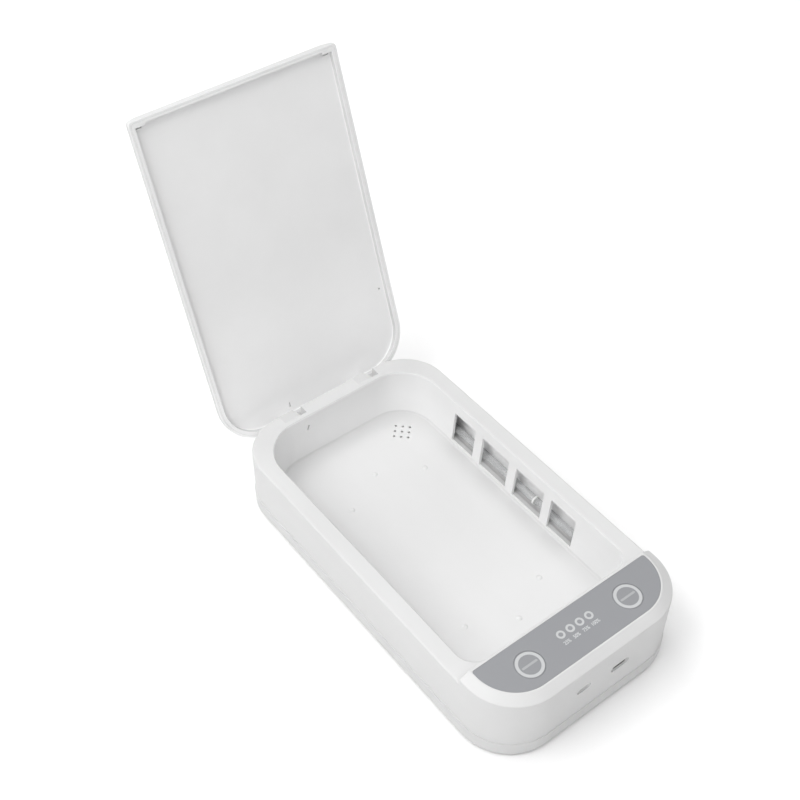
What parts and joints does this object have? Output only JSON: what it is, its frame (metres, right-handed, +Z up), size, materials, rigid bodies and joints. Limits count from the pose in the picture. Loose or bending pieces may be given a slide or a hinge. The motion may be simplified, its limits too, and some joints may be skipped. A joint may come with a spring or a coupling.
{
  "type": "phone uv sanitizer box",
  "caption": "Countertop box with a hinged lid that disinfects a phone laid in its tray with ultraviolet lamps; keys on a front panel start it.",
  "frame": {"origin": "centre of the closed box's footprint, on the plane that the feet stand on", "axes": "+Z up; +X to the right seen from the control panel; +Y from the control panel towards the lid's hinge"},
  "size_m": [0.1194, 0.2869, 0.1971],
  "materials": {
    "shell_white": "satin",
    "tray_white": "satin",
    "panel_grey": "satin",
    "ring_white": "satin",
    "stem_plastic": "moulded",
    "foot_rubber": "matt",
    "steel": "satin",
    "board_green": "lacquered",
    "part_black": "moulded",
    "part_ivory": "moulded",
    "led_white": "clear",
    "ferrite_yellow": "taped",
    "lamp_glass": "clear",
    "reflector_metal": "satin",
    "holder_rubber": "matt",
    "lead_white": "satin",
    "heater_film": "film",
    "sponge_white": "open cell"
  },
  "bodies": {
    "base": {"main_housing": "shell_white", "tray": "tray_white", "bottom_cover": "shell_white", "feet": "foot_rubber", "cover_screws": "steel", "panel_overlay": "panel_grey", "led_rings": "ring_white", "key_board": "board_green", "tact_switches": "part_black", "indicator_leds": "led_white", "board_ribbon": "part_ivory", "main_board": "board_green", "board_screws": "steel", "usb_c_socket": "steel", "micro_usb_socket": "steel", "hv_transformer": "ferrite_yellow", "capacitors": "part_black", "controller_chip": "part_black", "lamp_connectors": "part_ivory", "right_lamp": "lamp_glass", "left_lamp": "lamp_glass", "lamp_holders": "holder_rubber", "lamp_clips": "lead_white", "right_reflector": "reflector_metal", "left_reflector": "reflector_metal", "lamp_leads": "lead_white", "aroma_heater": "heater_film", "aroma_sponge": "sponge_white", "aroma_cup": "stem_plastic", "lid_switch": "part_black", "hinge_pins": "steel"},
    "lid": {"lid_shell": "shell_white"},
    "start_button": {"start_key": "panel_grey", "start_ring": "ring_white", "start_stem": "stem_plastic"},
    "aroma_button": {"aroma_key": "panel_grey", "aroma_ring": "ring_white", "aroma_stem": "stem_plastic"},
    "lid_switch_button": {"switch_plunger": "stem_plastic"}
  },
  "joints": [
    {"name": "lid_hinge", "type": "hinge", "parent": "base", "child": "lid", "pos_m": [0, 0.10475, 0.03057], "axis": [1, 0, 0], "range_deg": [0, 110]},
    {"name": "start_press", "type": "slide", "parent": "base", "child": "start_button", "axis": [0, 0, -1], "range_m": [0, 0.0005], "stiffness_N_per_m": 600, "springref_m": -0.0003},
    {"name": "aroma_press", "type": "slide", "parent": "base", "child": "aroma_button", "axis": [0, 0, -1], "range_m": [0, 0.0005], "stiffness_N_per_m": 600, "springref_m": -0.0003},
    {"name": "lid_switch_press", "type": "slide", "parent": "base", "child": "lid_switch_button", "axis": [0, 0, -1], "range_m": [0, 0.0007]}
  ],
  "couplings": [
    {"joint": "lid_switch_press", "follows": "lid_hinge", "m_per_rad": 0.0003646}
  ]
}
